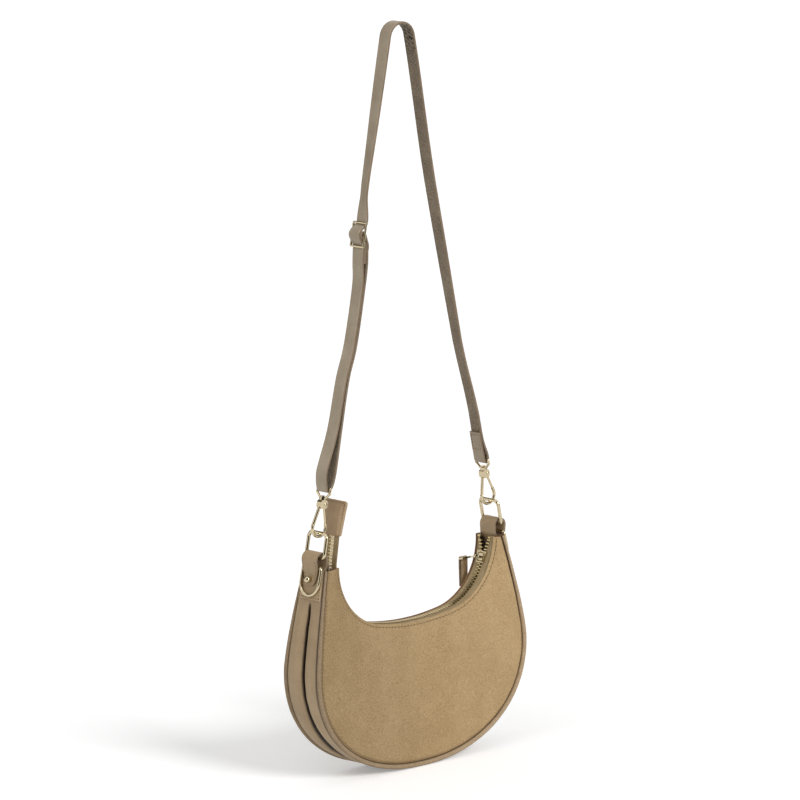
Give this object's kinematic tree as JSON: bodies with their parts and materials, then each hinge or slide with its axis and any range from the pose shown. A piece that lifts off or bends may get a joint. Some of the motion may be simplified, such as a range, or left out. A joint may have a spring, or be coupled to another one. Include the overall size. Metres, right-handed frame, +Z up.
{
  "type": "half moon bag",
  "caption": "Small half moon shoulder bag with a zipped curved mouth, ring and tab ends, swivel snap hooks and a narrow strap with a slide buckle.",
  "frame": {"origin": "underside of the top of the strap, where the bag hangs on a hook or a shoulder", "axes": "+X along the bag towards the open end of the zip, +Z up, front panel faces -Y"},
  "size_m": [0.2636, 0.05, 0.6982],
  "materials": {
    "suede": "brushed suede",
    "strap_leather": "smooth with a fine grain",
    "trim_leather": "smooth matte",
    "lining_cloth": "plain woven",
    "zip_tape": "woven tape",
    "gold_metal": "polished pale gold plate",
    "spring_steel": "drawn wire"
  },
  "bodies": {
    "strap": {"strap": "strap_leather", "slide_buckle": "gold_metal", "left_swivel_eye": "gold_metal", "right_swivel_eye": "gold_metal"},
    "bag": {"front_panel": "suede", "back_panel": "suede", "gusset": "strap_leather", "front_welt": "suede", "back_welt": "suede", "lining": "lining_cloth", "inner_pocket": "lining_cloth", "front_facing": "strap_leather", "back_facing": "strap_leather", "left_tab": "strap_leather", "right_tab": "strap_leather", "left_stud": "gold_metal", "right_stud": "gold_metal", "left_end_patch": "trim_leather", "right_end_patch": "trim_leather", "front_zip_tape": "zip_tape", "back_zip_tape": "zip_tape", "front_zip_teeth": "gold_metal", "back_zip_teeth": "gold_metal", "zip_stops": "gold_metal", "zip_end_tab": "trim_leather"},
    "left_hook": {"left_swivel_post": "gold_metal", "left_hook": "gold_metal", "left_gate_pin": "gold_metal", "left_gate_spring": "spring_steel"},
    "left_gate": {"left_gate": "gold_metal"},
    "left_ring": {"left_ring": "gold_metal"},
    "left_d_ring": {"left_d_ring": "gold_metal"},
    "right_hook": {"right_swivel_post": "gold_metal", "right_hook": "gold_metal", "right_gate_pin": "gold_metal", "right_gate_spring": "spring_steel"},
    "right_gate": {"right_gate": "gold_metal"},
    "right_ring": {"right_ring": "gold_metal"},
    "right_d_ring": {"right_d_ring": "gold_metal"},
    "zip_slider": {"zip_slider": "gold_metal"},
    "zip_puller": {"zip_puller": "gold_metal"},
    "leather_pull": {"leather_pull": "strap_leather"}
  },
  "joints": [
    {"name": "bag_swing", "type": "hinge", "parent": "strap", "child": "bag", "pos_m": [0, 0, -0.46401], "axis": [1, 0, 0], "range_deg": [-35, 35]},
    {"name": "left_swivel", "type": "hinge", "parent": "strap", "child": "left_hook", "pos_m": [-0.10192, 0, -0.43453], "axis": [0.2017, 0, 0.9795], "range_deg": [-15, 15]},
    {"name": "left_gate_turn", "type": "hinge", "parent": "left_hook", "child": "left_gate", "pos_m": [-0.09998, 0, -0.43503], "axis": [0, 1, 0], "range_deg": [0, 20], "stiffness_Nm_per_rad": 0.012, "springref_deg": -11.46, "deforming": ["left_gate_spring"]},
    {"name": "left_ring_tilt", "type": "hinge", "parent": "bag", "child": "left_ring", "pos_m": [-0.112, 0, -0.4835], "axis": [0, 1, 0], "range_deg": [-1, 1]},
    {"name": "left_d_ring_turn", "type": "hinge", "parent": "bag", "child": "left_d_ring", "pos_m": [-0.115, 0, -0.491], "axis": [0, 1, 0], "range_deg": [0, 100]},
    {"name": "right_swivel", "type": "hinge", "parent": "strap", "child": "right_hook", "pos_m": [0.10192, 0, -0.43453], "axis": [-0.2017, 0, 0.9795], "range_deg": [-15, 15]},
    {"name": "right_gate_turn", "type": "hinge", "parent": "right_hook", "child": "right_gate", "pos_m": [0.1039, 0, -0.43422], "axis": [0, 1, 0], "range_deg": [0, 20], "stiffness_Nm_per_rad": 0.012, "springref_deg": -11.46, "deforming": ["right_gate_spring"]},
    {"name": "right_ring_tilt", "type": "hinge", "parent": "bag", "child": "right_ring", "pos_m": [0.112, 0, -0.4835], "axis": [0, 1, 0], "range_deg": [-1, 1]},
    {"name": "right_d_ring_turn", "type": "hinge", "parent": "bag", "child": "right_d_ring", "pos_m": [0.115, 0, -0.491], "axis": [0, 1, 0], "range_deg": [-100, 0]},
    {"name": "zip_run", "type": "hinge", "parent": "bag", "child": "zip_slider", "pos_m": [0.03795, 0, -0.494], "axis": [0, 1, 0], "range_deg": [0, 56], "deforming": ["front_zip_teeth", "back_zip_teeth"]},
    {"name": "puller_turn", "type": "hinge", "parent": "zip_slider", "child": "zip_puller", "pos_m": [0.09208, 0, -0.51264], "axis": [0.3256, 0, 0.9455], "range_deg": [0, 100]},
    {"name": "pull_turn", "type": "hinge", "parent": "zip_puller", "child": "leather_pull", "pos_m": [0.09208, 0.02038, -0.51772], "axis": [1, 0, 0], "range_deg": [0, 90]}
  ]
}
